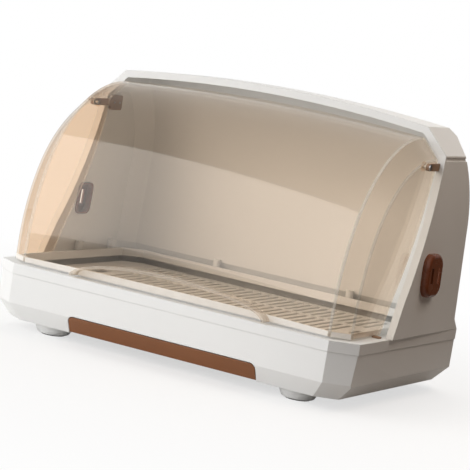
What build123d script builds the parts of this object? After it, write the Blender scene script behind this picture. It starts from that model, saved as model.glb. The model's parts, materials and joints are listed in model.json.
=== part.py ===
from build123d import *
import math
import os

# A covered cup drying rack. Its front faces -Y, z = 0 is the surface that it stands on,
# and the part is symmetric left to right. All sizes are in millimetres.

# Tub: outline at the rim, heights and walls
half_front = 225.0          # half width at the front corners
half_rear = 229.5           # half width at the rear corners
front_y = -145.5            # front face
back_y = 150.0              # back face
corner_run_x = 27.6         # front corner facet, along X
corner_run_y = 18.6         # front corner facet, along Y
rear_run = 19.0             # rear corner facet, along X and Y
rim_z = 75.0                # top of the rim
crease_z = 30.0             # where the walls start to tuck in
belly_z = 12.0              # lower edge of the tub
tuck_front = 9.0            # how far the front tucks in below the crease
tuck_side = 15.8
tuck_rear = 12.0
tuck_corner = (22.0, 20.5)  # the front corner facet's tuck along X and Y
wall = 2.5                  # wall of every white moulding
flange = 2.5                # rim flange of the tub
band = 12.0                 # rim band, stands proud of the wall below
band_step = 0.8
ridge_y = -20.0             # where the faint side ridge meets the crease
ridge_tuck = 1.8            # how far the facet below the ridge turns in

# Well: the opening in the rim, with a lip that keeps splashes in
lip = 1.8
lip_height = 7.0
well_back = 26.0            # from the well's rear edge to the tub's back
deck_z = 43.0               # top of the sloping deck at the walls
deck_drop = 3.5             # fall of the deck towards its drain
drain = (64.0, 14.0)        # drain opening, X and Y
spout_depth = 4.0

# Hood: front rim curve in the YZ plane and outline in the XZ plane
rim_foot_y = -54.0
rim_bend = (-33.5, 116.0)
rim_mid = (4.0, 190.0)
rim_top = (26.0, 273.0)
hood_half = 222.0           # half width at the shoulder's foot
shoulder_z = 273.0
roof_half = 195.0           # half width at the shoulder's top
roof_side_z = 301.0
roof_top_z = 313.0          # crown of the arched roof
rim_width = 8.5             # front rim, seen from the front
hood_back_y = 139.0         # back wall, the tub stands out behind it
skirt_height = 12.0         # where the back wall flares out to the tub
back_radius = 146.0         # back wall rolls forward into the roof
back_bend_z = 190.0
body_end_z = 330.0          # above the roof, where the roof outline trims the body
groove_z = 269.0            # shadow line below the shoulders
groove_height = 3.6
groove_depth = 1.0

# Clear cover: side profiles of tangent arcs that fall from the crest to the upright foot,
# one profile at the panel's edges and one at the side walls
crest_y = 26.0
cover_turns = (33.1, 34.0, 22.9)
panel_radii = (151.1, 157.9, 252.1)
panel_crest_z = 288.5
side_radii = (140.9, 142.3, 218.8)
side_crest_z = 267.0
panel_front_y = -135.5
side_front_y = -121.5
cover_foot_z = 77.0
panel_half = 192.0          # half width of the panel between its corner facets
cover_half = 212.5          # half width over the side walls
panel_crown = 8.5           # extra rise of the panel at the middle
cover_wall = 2.4
corner_share = 0.45         # how much of the wall the corner facets' edges move by
cover_overlap = 3.0         # how far the cover reaches behind the hood's front rim

# Lifting ledge: an arch-shaped eyebrow staked to the cover's lower front
ledge_half = 122.0
ledge_height = 24.0
ledge_wall = 3.0
ledge_front_y = -150.0
peg_x = (-72.0, 0.0, 72.0)
peg_radius = 1.2
peg_clearance = 0.05

# Cover hinge
hinge_y = -2.0
hinge_z = 259.5
pin_radius = 2.0
pin_clearance = 0.06        # radial, pin in the cover's bore
arm_wall = 3.4
arm_eye_radius = 4.0
arm_root_y = (36.0, 60.0)
arm_root_height = 18.0
washer_wall = 0.8
washer_radius = 4.0
pin_boss_radius = 5.5
pin_boss = 2.0
hinge_gap = 0.15            # between the washer and the cover
arm_screw_y = (42.0, 54.0)
arm_screw_radius = 1.1

# Drawer
tray_half = 112.0
tray_front_y = -131.0
tray_back_y = 95.0
tray_height = 14.0
tray_wall = 1.8
drawer_half = 117.5
drawer_top_z = 31.0
drawer_low_z = 13.4
drawer_gap = 0.8
drawer_wall = 3.0
drawer_corner = 6.0
guide_wall = 2.0
guide_height = 7.0
slide_gap = 0.3

# Bottom plate, screws and feet
plate = 2.5
seat_gap = 0.3
plate_screws = [(180.0, -88.0), (188.0, 5.0), (180.0, 96.0)]
hood_screws = [(220.0, 25.0), (220.0, 100.0), (90.0, 132.5)]
post_radius = 4.5
screw_radius = 1.5
head_radius = 3.0
head_height = 1.8
screw_length = 9.0
foot_x = 156.0
foot_y = 108.0
foot_radius = 21.0
foot_low_radius = 17.5
foot_lift = 1.2             # the pad holds the foot this far above the surface
pad_radius = 14.0
pad_height = 2.4

# Drain rack
rack_top_z = 66.0
rack_wall = 3.0
rack_skirt = 6.0
rack_gap = 1.5              # around the rack, inside the well
rack_border = 13.0
slot_width = 5.0
slot_pitch = 11.0
slot_rows = 3
slot_rib = 9.0              # solid strip between the rows of slots
grip = (34.0, 15.0)         # finger holes for lifting the rack
grip_x = 168.0
rack_posts = [(185.0, -105.0), (193.0, 0.0), (185.0, 105.0), (62.0, -118.0), (62.0, 116.0)]

# Vent caps
vent_y = 23.5
vent_z = 142.0
vent_width = 42.0
vent_height = 48.0
vent_proud = 8.0
vent_corner = 15.0
vent_edge = 4.5
vent_wall = 2.4
vent_slot = (6.0, 17.5)
vent_slot_pitch = 19.0
vent_hole = (30.0, 38.0)    # opening in the hood behind the cap
vent_spigot = 5.0
vent_fit = 0.2

# Cover bumpers
bumper_y = -61.0
bumper = (9.0, 9.0)

middle = Vector(0, 0, 60)


def mirrored(point):
    return Vector(-point.X, point.Y, point.Z)


def cut_plane(body, points, inset):
    """Cut away what lies outside the plane through three points, moved inwards by an inset."""
    a, b, c = points
    normal = (b - a).cross(c - a).normalized()
    if normal.dot(a - middle) < 0:
        normal = -normal
    return split(body, bisect_by=Plane(a - normal * inset, z_dir=normal), keep=Keep.BOTTOM)


def upright(x0, y0, x1, y1):
    return [Vector(x0, y0, 0), Vector(x1, y1, 0), Vector(x1, y1, 50)]


def tub_facets():
    """The tub's facets: those on the middle line, and those of the right side."""
    corner_x = half_front - corner_run_x
    side_y = front_y + corner_run_y
    rear_y = back_y - rear_run
    rear_x = half_rear - rear_run
    low_half = (half_front + half_rear) / 2 - tuck_side
    ridge_x = half_front + (half_rear - half_front) * (ridge_y - side_y) / (rear_y - side_y)
    central = [
        upright(-corner_x, front_y, corner_x, front_y),
        upright(-rear_x, back_y, rear_x, back_y),
        [Vector(-9, front_y, crease_z), Vector(9, front_y, crease_z), Vector(0, front_y + tuck_front, belly_z)],
        [Vector(-9, back_y, crease_z), Vector(9, back_y, crease_z), Vector(0, back_y - tuck_rear, belly_z)],
    ]
    right = [
        upright(corner_x, front_y, half_front, side_y),
        upright(half_front, side_y, half_rear, rear_y),
        upright(half_rear, rear_y, rear_x, back_y),
        [
            Vector(half_front, side_y, rim_z - band),
            Vector(ridge_x, ridge_y, crease_z),
            Vector(half_front - ridge_tuck, side_y, crease_z),
        ],
        [
            Vector(corner_x, front_y, crease_z),
            Vector(half_front, side_y, crease_z),
            Vector(half_front - tuck_corner[0], front_y + tuck_corner[1], belly_z),
        ],
        [Vector(half_front, side_y, crease_z), Vector(half_rear, rear_y, crease_z), Vector(low_half, 0, belly_z)],
        [
            Vector(half_rear, rear_y, crease_z),
            Vector(rear_x, back_y, crease_z),
            Vector(low_half, rear_y - tuck_rear / 3, belly_z),
        ],
    ]
    return central, right


def tub_block(inset, low, high):
    """The tub's outer form between two heights, with every facet moved inwards by an inset."""
    body = Pos(0, 0, (low + high) / 2) * Box(2 * half_rear + 20, 2 * back_y + 20, high - low)
    central, right = tub_facets()
    for points in central:
        body = cut_plane(body, points, inset)
    for points in right:
        body = cut_plane(body, points, inset)
        body = cut_plane(body, [mirrored(p) for p in points], inset)
    return body


def well_outline(grow):
    """Plan of the well, just inside the cover's foot, grown by a distance."""
    clear = cover_wall + 1.2 + lip
    x = cover_half - clear
    y0 = panel_front_y + clear
    y1 = back_y - well_back
    corner_x = panel_half - 0.4 * clear
    corner_y = y0 + side_front_y - panel_front_y
    points = [(corner_x, y0), (x, corner_y), (x, y1 - rear_run), (x - rear_run, y1)]
    outline = points + [(-px, py) for px, py in reversed(points)]
    face = make_face(Polyline(*outline, close=True))
    return offset(face, grow, kind=Kind.INTERSECTION) if grow else face


def prism(face, low, high):
    return extrude(Pos(0, 0, low) * face, high - low)


def post(x, y, low, high, radius):
    return Pos(x, y, (low + high) / 2) * Cylinder(radius, high - low)


def both_sides(points):
    return [(side * x, y) for x, y in points for side in (-1, 1)]


def base_tub():
    shell = tub_block(band_step, belly_z, rim_z - band) + tub_block(0, rim_z - band, rim_z)
    upper = tub_block(wall, deck_z, rim_z - flange)
    lower = tub_block(wall, belly_z - 1, deck_z - wall)
    shell = shell - lower - upper
    # the deck falls to a drain in its middle, with a spout below
    wide = Rectangle(2 * half_front - 60, back_y - front_y - 60)
    throat = Rectangle(*drain)
    funnel = loft([Pos(0, 0, deck_z) * wide, Pos(0, 0, deck_z - deck_drop) * throat])
    spout_z = deck_z - deck_drop - wall - spout_depth
    cone = Pos(0, 0, -wall) * funnel
    spout = prism(Rectangle(drain[0] + 2 * wall, drain[1] + 2 * wall), spout_z, deck_z - deck_drop)
    shell = shell + cone + spout - funnel - prism(throat, spout_z - 1, deck_z)
    # well through the rim flange, and its lip
    shell -= prism(well_outline(0), rim_z - flange - 1, rim_z + 1)
    shell += prism(well_outline(lip) - well_outline(0), rim_z - flange, rim_z + lip_height)
    for x, y in both_sides(rack_posts):
        shell += post(x, y, deck_z - wall, rack_top_z - rack_skirt - seat_gap, post_radius)
    for x, y in both_sides(plate_screws):
        shell += post(x, y, belly_z + plate, deck_z - wall, post_radius)
        shell -= post(x, y, belly_z, belly_z + plate + screw_length, screw_radius)
    for x, y in both_sides(hood_screws):
        shell -= post(x, y, rim_z - flange - 1, rim_z + 1, screw_radius)
    return shell - drawer_opening()


def drawer_opening():
    """Cut for the drawer front in the tucked lower edge, open at the bottom."""
    half = drawer_half + drawer_gap
    top = drawer_top_z + drawer_gap
    hole = Pos(0, front_y + 12, (top + belly_z - 4) / 2) * Box(2 * half, 40, top - belly_z + 4)
    corners = hole.edges().filter_by(Axis.Y).group_by(Axis.Z)[-1]
    return fillet(corners, drawer_corner + drawer_gap)


def bottom_plate():
    body = tub_block(wall + band_step + seat_gap, belly_z, belly_z + plate)
    room = 2 * (drawer_half + drawer_gap)
    body -= Pos(0, front_y + 10, belly_z) * Box(room, 16, 10)
    guide_x = tray_half + slide_gap + guide_wall / 2
    guide_length = tray_back_y - tray_front_y - 20
    for side in (-1, 1):
        rail = Box(guide_wall, guide_length, guide_height)
        mid_y = (tray_front_y + tray_back_y) / 2
        body += Pos(side * guide_x, mid_y, belly_z + plate + guide_height / 2) * rail
    stop = Box(60, guide_wall, guide_height)
    body += Pos(0, tray_back_y + slide_gap + guide_wall / 2, belly_z + plate + guide_height / 2) * stop
    for x, y in both_sides(plate_screws) + foot_places():
        body -= post(x, y, belly_z - 1, belly_z + plate + 1, screw_radius)
    return body


def foot_places():
    return [(x, y) for y in (-foot_y, foot_y) for x in (-foot_x, foot_x)]


def foot():
    """Round tapered foot with a rounded lower edge and a recess for its pad."""
    low = foot_lift
    round_edge = 3.5
    outline = Polyline(
        (0, low), (foot_low_radius, low), (foot_radius, belly_z - 4), (foot_radius, belly_z), (0, belly_z), close=True
    )
    body = revolve(Plane.XZ * make_face(outline), Axis.Z)
    lowest = body.edges().filter_by(GeomType.CIRCLE).sort_by(Axis.Z)[0]
    body = fillet(lowest, round_edge)
    recess = post(0, 0, low - 1, pad_height, pad_radius)
    return body - recess - post(0, 0, belly_z - 6, belly_z + 1, screw_radius)


def foot_pad():
    body = post(0, 0, 0, pad_height, pad_radius)
    return chamfer(body.edges().group_by(Axis.Z)[0], 0.5)


def screw(x, y, head_low, length, up=1):
    """Pan-head screw, its shank pointing up or down from the head."""
    head = Pos(0, 0, head_height / 2) * Cylinder(head_radius, head_height)
    head = fillet(head.edges().group_by(Axis.Z)[0], 0.6)
    head -= Pos(0, 0, 0.3) * Cylinder(1.0, 1.2)
    body = head + Pos(0, 0, head_height + length / 2) * Cylinder(screw_radius, length)
    if up < 0:
        body = Rot(180, 0, 0) * body
    return Pos(x, y, head_low) * body


def foot_screws():
    top = belly_z + plate + head_height
    return [screw(x, y, top, plate + 5.5, -1) for x, y in foot_places()]


def plate_screw_set():
    return [screw(x, y, belly_z - head_height, screw_length) for x, y in both_sides(plate_screws)]


def hood_screw_set():
    low = rim_z - flange - head_height
    return [screw(x, y, low, screw_length) for x, y in both_sides(hood_screws)]


def drain_rack():
    """Slotted rack with a skirt and two finger holes."""
    low = rack_top_z - rack_skirt
    body = prism(well_outline(-rack_gap), low, rack_top_z)
    body -= prism(well_outline(-rack_gap - rack_wall), low - 1, rack_top_z - rack_wall)
    for x, y in both_sides(rack_posts):
        body += post(x, y, low, rack_top_z - 1, post_radius)
    well = well_outline(0).bounding_box()
    length = well.size.Y - 2 * (rack_gap + rack_border)
    slot_length = (length - (slot_rows - 1) * slot_rib) / slot_rows
    count = int((well.size.X - 2 * (rack_gap + rack_border) - 60) / slot_pitch)
    grip_half = grip[1] / 2 + 8
    for row in range(slot_rows):
        y = well.center().Y - length / 2 + slot_length / 2 + row * (slot_length + slot_rib)
        for column in range(count):
            x = (column - (count - 1) / 2) * slot_pitch
            if row == 1 and abs(x) > grip_x - grip_half:
                continue
            body -= Pos(x, y, rack_top_z) * Box(slot_width, slot_length, 4 * rack_wall)
    for side in (-1, 1):
        hole = prism(SlotOverall(grip[0], grip[1], rotation=90), rack_top_z - 9, rack_top_z + 1)
        body -= Pos(side * grip_x, well.center().Y, 0) * hole
    return body


def drip_tray():
    low = belly_z + plate + slide_gap
    size_y = tray_back_y - tray_front_y
    mid_y = (tray_back_y + tray_front_y) / 2
    body = Pos(0, mid_y, low + tray_height / 2) * Box(2 * tray_half, size_y, tray_height)
    body = fillet(body.edges().filter_by(Axis.Z), 6)
    inner = Box(2 * (tray_half - tray_wall), size_y - 2 * tray_wall, tray_height)
    inner = fillet(inner.edges().filter_by(Axis.Z), 6 - tray_wall)
    inner = fillet(inner.edges().group_by(Axis.Z)[0], 3)
    return body - Pos(0, mid_y, low + tray_wall + tray_height / 2) * inner


def drip_tray_front():
    """Drawer front that follows the tub's facets, with a grip lip and two hooks over the tray's wall."""
    slab = tub_block(band_step, drawer_low_z, drawer_top_z) - tub_block(
        band_step + drawer_wall, drawer_low_z + drawer_wall, drawer_top_z + 1
    )
    reach = tray_front_y - slide_gap
    window = Pos(0, (front_y - 5 + reach) / 2, 25) * Box(2 * drawer_half, reach - front_y + 5, 40)
    outline = Plane.XZ * Pos(0, drawer_low_z, 0) * Rectangle(
        2 * drawer_half, 2 * (drawer_top_z - drawer_low_z), align=(Align.CENTER, Align.CENTER)
    )
    blank = extrude(outline, 200, both=True)
    blank = fillet(blank.edges().filter_by(Axis.Y).group_by(Axis.Z)[-1], drawer_corner)
    body = slab & window & blank
    top = belly_z + plate + slide_gap + tray_height
    for x in (-70.0, 70.0):
        tab_y = tray_front_y + tray_wall + slide_gap
        body += Pos(x, (front_y + 3.5 + tab_y) / 2, top + slide_gap + 0.9) * Box(16, tab_y - front_y - 3.5, 1.8)
        body += Pos(x, tab_y + 0.8, top - 2.0) * Box(16, 1.6, 8.2)
    return body


def hood_profile(inset):
    """Side profile of the hood: curved front rim, straight back that rolls forward into the roof."""
    low_z = rim_z - 25
    centre_y = hood_back_y - back_radius
    end_y = centre_y + math.sqrt(back_radius**2 - (body_end_z - back_bend_z) ** 2)
    half_z = (body_end_z + back_bend_z) / 2
    half_y = centre_y + math.sqrt(back_radius**2 - (half_z - back_bend_z) ** 2)
    lines = [
        Line((rim_foot_y, low_z), (rim_foot_y, rim_z)),
        Line((rim_foot_y, rim_z), rim_bend),
        ThreePointArc(rim_bend, rim_mid, rim_top),
        Line(rim_top, (rim_top[0] + 1, body_end_z)),
        Line((rim_top[0] + 1, body_end_z), (end_y, body_end_z)),
        ThreePointArc((end_y, body_end_z), (half_y, half_z), (hood_back_y, back_bend_z)),
        Line((hood_back_y, back_bend_z), (hood_back_y, low_z)),
        Line((hood_back_y, low_z), (rim_foot_y, low_z)),
    ]
    face = make_face(lines)
    return offset(face, -inset, kind=Kind.INTERSECTION) if inset else face


def flare_half(z):
    """Half width of the hood's flared side walls at a height."""
    return hood_half + (half_rear - hood_half) * (shoulder_z - z) / (shoulder_z - rim_z)


def hood_outline(inset):
    """Front outline of the hood: flared sides, 45 degree shoulders and an arched roof."""
    low_z = rim_z - 25
    low = flare_half(low_z)
    lines = [
        Line((-low, low_z), (-hood_half, shoulder_z)),
        Line((-hood_half, shoulder_z), (-roof_half, roof_side_z)),
        ThreePointArc((-roof_half, roof_side_z), (0, roof_top_z), (roof_half, roof_side_z)),
        Line((roof_half, roof_side_z), (hood_half, shoulder_z)),
        Line((hood_half, shoulder_z), (low, low_z)),
        Line((low, low_z), (-low, low_z)),
    ]
    face = make_face(lines)
    return offset(face, -inset, kind=Kind.INTERSECTION) if inset else face


def along_y(face, y0, y1):
    """Extrude a face drawn as (x, z) from y0 to y1."""
    return extrude(Plane.XZ.offset(-y0) * face, -(y1 - y0))


def hood_body(inset):
    """The hood's closed form with its surfaces moved inwards by an inset."""
    body = extrude(Plane.YZ * hood_profile(inset), half_rear + 20, both=True)
    top, low = flare_half(body_end_z) - inset, flare_half(rim_z - 30) - inset
    sides = make_face(Polyline((-low, rim_z - 30), (-top, body_end_z), (top, body_end_z), (low, rim_z - 30), close=True))
    body = body & along_y(sides, -200, 200)
    leg = rear_run - (2 - math.sqrt(2)) * inset
    edges = [
        e for e in body.edges()
        if abs(e.center().X) > hood_half - 10 and e.center().Y > 70 and e.center().Z < body_end_z - 5 - inset
        and e.center().Z > rim_z - 20 + inset
    ]
    body = chamfer(edges, leg)
    return body & along_y(hood_outline(inset), -200, 200)


def hood_skirt(inset):
    """Flare at the foot of the back wall, out to the tub's outline."""
    def ring(half, y_back, z):
        half -= inset
        y_back -= inset
        run = rear_run - (2 - math.sqrt(2)) * inset
        points = [(half, 40.0), (half, y_back - run), (half - run, y_back)]
        points += [(-x, y) for x, y in reversed(points)]
        return Pos(0, 0, z) * make_face(Polyline(*points, close=True))

    top = rim_z + skirt_height
    body = loft([ring(half_rear, back_y, rim_z), ring(flare_half(top), hood_back_y, top)], ruled=True)
    if inset:
        body += loft([ring(half_rear, back_y, rim_z - 5), ring(half_rear, back_y, rim_z)], ruled=True)
    return body


def shoulder_groove():
    """Shadow line below each shoulder, from behind the front rim to the rear corner."""
    ring = hood_body(0) - hood_body(groove_depth)
    grooves = []
    for side in (-1, 1):
        box = Box(40, back_y, groove_height, align=(Align.CENTER, Align.MIN, Align.CENTER))
        grooves.append(ring & Pos(side * (hood_half - 2), rim_top[0] + 3, groove_z) * box)
    return grooves


def hood_shell():
    outer = hood_body(0) + hood_skirt(0)
    shell = split(outer, bisect_by=Plane.XY.offset(rim_z), keep=Keep.TOP)
    shell = shell - hood_body(wall) - hood_skirt(wall)
    shell -= along_y(hood_outline(rim_width), -200, rim_top[0] + 14)
    shell -= shoulder_groove()
    for x, y in both_sides(hood_screws):
        tall = screw_length + 6
        boss = post(x, y, rim_z, rim_z + tall, post_radius)
        # a web ties the boss to the nearest wall
        to_side = abs(x) > half_front - 20
        web = (half_rear - abs(x), wall) if to_side else (wall, back_y - y)
        middle_x = x + math.copysign(web[0] / 2, x) if to_side else x
        middle_y = y if to_side else y + web[1] / 2
        boss += Pos(middle_x, middle_y, rim_z + tall / 2) * Box(*web, tall)
        shell += boss & outer
        shell -= post(x, y, rim_z - 1, rim_z + screw_length, screw_radius)
    for side in (-1, 1):
        for y in arm_screw_y:
            inner = arm_x(1)
            outer_x = flare_half(hinge_z) - wall / 2
            boss = Pos(side * (inner + outer_x) / 2, y, hinge_z) * Rot(0, 90, 0) * Cylinder(3.6, outer_x - inner)
            shell += boss
            shell -= Pos(side * inner, y, hinge_z) * Rot(0, 90, 0) * Cylinder(arm_screw_radius, 2 * arm_screw_depth())
        shell -= side_block(side, arm_slot())
        hole = Box(60, *vent_hole)
        shell -= Pos(side * flare_half(vent_z), vent_y, vent_z) * fillet(hole.edges().filter_by(Axis.X), 8)
    return shell


def arm_x(face):
    """Distance from the middle plane to the hinge arm's inner face (0) or outer face (1)."""
    return cover_half + hinge_gap + washer_wall + face * arm_wall


def arm_screw_depth():
    return 4.5


def arm_slot():
    """Room for the hinge arm in the hood's front rim: x, y and z ranges."""
    reach = arm_eye_radius + seat_gap
    return (arm_x(0) - seat_gap, arm_x(1) + seat_gap), (0.0, rim_top[0] + 10), (hinge_z - reach, hinge_z + reach)


def side_block(side, ranges):
    (x0, x1), (y0, y1), (z0, z1) = ranges
    return Pos(side * (x0 + x1) / 2, (y0 + y1) / 2, (z0 + z1) / 2) * Box(x1 - x0, y1 - y0, z1 - z0)


def hinge_arm(side):
    """Flat arm: a round eye at the cover's pin, a tapered bar and a root plate with two screw holes."""
    eye = Pos(hinge_y, hinge_z) * Circle(arm_eye_radius)
    half = arm_eye_radius
    bar = make_face(Polyline(
        (hinge_y, hinge_z - half), (arm_root_y[0], hinge_z - half), (arm_root_y[0], hinge_z + half),
        (hinge_y, hinge_z + half), close=True,
    ))
    root = Pos(sum(arm_root_y) / 2, hinge_z) * RectangleRounded(arm_root_y[1] - arm_root_y[0], arm_root_height, 3)
    flat = eye + bar + root - Pos(hinge_y, hinge_z) * Circle(pin_radius)
    for y in arm_screw_y:
        flat -= Pos(y, hinge_z) * Circle(arm_screw_radius)
    start = arm_x(0) if side > 0 else -arm_x(1)
    return Pos(start, 0, 0) * extrude(Plane.YZ * flat, arm_wall)


def across(x0, x1, y, z, radius):
    return Pos((x0 + x1) / 2, y, z) * Rot(0, 90, 0) * Cylinder(radius, abs(x1 - x0))


def hinge_pin(side):
    inner = cover_half - cover_wall - pin_boss + 0.5
    body = across(side * inner, side * arm_x(1), hinge_y, hinge_z, pin_radius)
    head = across(side * arm_x(1), side * (arm_x(1) + 1.2), hinge_y, hinge_z, pin_radius + 1.4)
    return body + head


def hinge_washer(side):
    x0 = side * (cover_half + hinge_gap)
    x1 = side * arm_x(0)
    ring = across(x0, x1, hinge_y, hinge_z, washer_radius)
    return ring - across(x0 * 0.9, x1 * 1.1, hinge_y, hinge_z, pin_radius)


def hinge_screws():
    """Small pan-head screws that hold the arms' roots on the hood's bosses."""
    screws = []
    for side in (-1, 1):
        face = arm_x(0)
        for y in arm_screw_y:
            head = across(side * (face - 1.4), side * face, y, hinge_z, 2.4)
            shank = across(side * face, side * (face + arm_wall + 3.6), y, hinge_z, arm_screw_radius)
            screws.append(head + shank)
    return screws


def cover_section(radii, crest_z, spare):
    """Closed side profile of the cover; spare lengthens its open back and foot."""
    lines = []
    angle = 0.0
    y, z = crest_y, crest_z
    for radius, turn in zip(radii, cover_turns):
        centre_y = y + radius * math.sin(angle)
        centre_z = z - radius * math.cos(angle)
        points = [(y, z)]
        for share in (0.5, 1.0):
            at = angle + share * math.radians(turn)
            points.append((centre_y - radius * math.sin(at), centre_z + radius * math.cos(at)))
        lines.append(ThreePointArc(*points))
        angle += math.radians(turn)
        y, z = points[-1]
    back = crest_y + 20 + spare
    foot = cover_foot_z - spare
    lines.append(Line((y, z), (y, foot)))
    lines.append(Line((y, foot), (back, foot)))
    lines.append(Line((back, foot), (back, crest_z)))
    lines.append(Line((back, crest_z), (crest_y, crest_z)))
    return make_face(lines)


def cover_body(inset):
    """The cover's solid form with its surfaces moved inwards: a crowned panel within two ruled corners."""
    spare = 10 if inset else 0
    panel = [r - inset for r in panel_radii]
    side = [r - corner_share * inset for r in side_radii]
    panel_x = panel_half - corner_share * inset
    side_x = cover_half - inset
    panel_z = panel_crest_z - inset
    side_z = side_crest_z - corner_share * inset
    # crowned panel: its profile turned about a low axis along Y
    crest_z = panel_crest_z + panel_crown
    swing = (panel_half**2 + panel_crown**2) / (2 * panel_crown)
    profile = Plane.YZ * cover_section(panel, crest_z - inset, spare + 25)
    axis = Axis((0, 0, crest_z - swing), (0, 1, 0))
    crowned = revolve(profile.rotate(axis, -8), axis, 16)
    # corners: each facet's straight lines run on past the panel's edge, so that they trim the panel
    past_x = 2 * panel_x - side_x
    past = cover_section([2 * p - q for p, q in zip(panel, side)], 2 * panel_z - side_z, spare)
    ends = cover_section(side, side_z, spare)
    places = [(-side_x, ends), (-past_x, past), (past_x, past), (side_x, ends)]
    corners = loft([Plane.YZ.offset(x) * face for x, face in places], ruled=True)
    return crowned & corners


def ledge_pegs(radius):
    """Pegs that hold the ledge, through the cover's wall at the middle of the arch's thickness."""
    a = ledge_half - ledge_wall / 2
    b = ledge_height - ledge_wall / 2
    pegs = []
    for x in peg_x:
        z = cover_foot_z + b * math.sqrt(1 - (x / a) ** 2)
        pegs.append(along_y(Pos(x, z) * Circle(radius), panel_front_y - 2, panel_front_y + cover_wall))
    return pegs


def cover_handle():
    """Arch-shaped ledge, open below for the fingers."""
    foot = Pos(0, cover_foot_z)
    arch = foot * (Ellipse(ledge_half, ledge_height) - Ellipse(ledge_half - ledge_wall, ledge_height - ledge_wall))
    upper = foot * Rectangle(2 * ledge_half + 10, ledge_height + 10, align=(Align.CENTER, Align.MIN))
    ledge = along_y(arch & upper, ledge_front_y, panel_front_y + 20) - cover_body(0)
    return ledge + ledge_pegs(peg_radius)


def clear_cover():
    inner = cover_body(cover_wall)
    shell = cover_body(0) - inner - ledge_pegs(peg_radius + peg_clearance)
    behind = Pos(0, cover_overlap, 0) * extrude(Plane.YZ * hood_profile(0), cover_half + 20, both=True)
    shell -= behind
    inside = cover_half - cover_wall
    for side in (-1, 1):
        shell += across(side * (inside - pin_boss), side * (inside + 1), hinge_y, hinge_z, pin_boss_radius)
        bore = pin_radius + pin_clearance
        shell -= across(side * (inside - pin_boss - 2), side * (cover_half + 2), hinge_y, hinge_z, bore)
    return shell


def vent_cap(side):
    """Pillow-shaped cap with two slots, hollow behind, with a spigot in the hood's opening."""
    tilt = math.degrees(math.atan2(half_rear - hood_half, shoulder_z - rim_z))
    outer = extrude(RectangleRounded(vent_width, vent_height, vent_corner), vent_proud)
    outer = fillet(outer.faces().sort_by(Axis.Z)[-1].edges(), vent_edge)
    hollow = extrude(RectangleRounded(
        vent_width - 2 * vent_wall, vent_height - 2 * vent_wall, vent_corner - vent_wall), vent_proud - vent_wall)
    hole_y, hole_z = vent_hole
    spigot = RectangleRounded(hole_y - 2 * vent_fit, hole_z - 2 * vent_fit, 8 - vent_fit)
    bore = RectangleRounded(hole_y - 2 * vent_wall, hole_z - 2 * vent_wall, 8 - vent_wall + 1)
    body = outer - hollow
    plate_face = Rectangle(vent_width - vent_wall, vent_height - vent_wall) & RectangleRounded(
        vent_width - 2, vent_height - 2, vent_corner - 1)
    body += extrude(plate_face, 1.6) + Pos(0, 0, -vent_spigot) * extrude(spigot, vent_spigot + 1)
    body -= Pos(0, 0, -vent_spigot - 1) * extrude(bore, vent_spigot + 4)
    for s in (-1, 1):
        body -= Pos(s * vent_slot_pitch / 2, 0, 0) * Box(vent_slot[0], vent_slot[1], 4 * vent_proud)
    face_plane = Plane(
        origin=(side * flare_half(vent_z), vent_y, vent_z),
        x_dir=(0, side, 0),
        z_dir=(side * math.cos(math.radians(tilt)), 0, math.sin(math.radians(tilt))),
    )
    return face_plane.location * body


def cover_bumper(side):
    size_x, size_y = bumper
    height = cover_foot_z - rim_z - seat_gap
    body = Box(size_x, size_y, height, align=(Align.CENTER, Align.CENTER, Align.MIN))
    body = fillet(body.edges().filter_by(Axis.Z), 2.5)
    x = cover_half - cover_wall - 1.2 + seat_gap + size_x / 2
    return Pos(side * x, bumper_y, rim_z) * body


def named_pair(name, maker):
    return {f"{name}_left": maker(-1), f"{name}_right": maker(1)}


def build():
    nodes = {
        "base_tub": base_tub(),
        "bottom_plate": bottom_plate(),
        "hood_shell": hood_shell(),
        "clear_cover": clear_cover(),
        "cover_handle": cover_handle(),
        "drain_rack": drain_rack(),
        "drip_tray": drip_tray(),
        "drip_tray_front": drip_tray_front(),
        "foot_screws": Compound(foot_screws()),
        "plate_screws": Compound(plate_screw_set()),
        "hood_screws": Compound(hood_screw_set()),
        "hinge_screws": Compound(hinge_screws()),
    }
    nodes.update(named_pair("vent", vent_cap))
    nodes.update(named_pair("hinge_arm", hinge_arm))
    nodes.update(named_pair("hinge_pin", hinge_pin))
    nodes.update(named_pair("hinge_washer", hinge_washer))
    nodes.update(named_pair("cover_bumper", cover_bumper))
    places = ("front_left", "front_right", "rear_left", "rear_right")
    for name, (x, y) in zip(places, foot_places()):
        nodes[f"foot_{name}"] = Pos(x, y, 0) * foot()
        nodes[f"foot_pad_{name}"] = Pos(x, y, 0) * foot_pad()
    return nodes


os.makedirs("parts", exist_ok=True)
for node, shape in build().items():
    export_step(shape, f"parts/{node}.step")
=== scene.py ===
"""Looks of the covered cup drying rack: a white moulded housing, a tinted swinging cover, a slotted
rack, a drip drawer, slotted side vents and round feet. Lengths are in metres unless a name says mm."""

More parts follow.
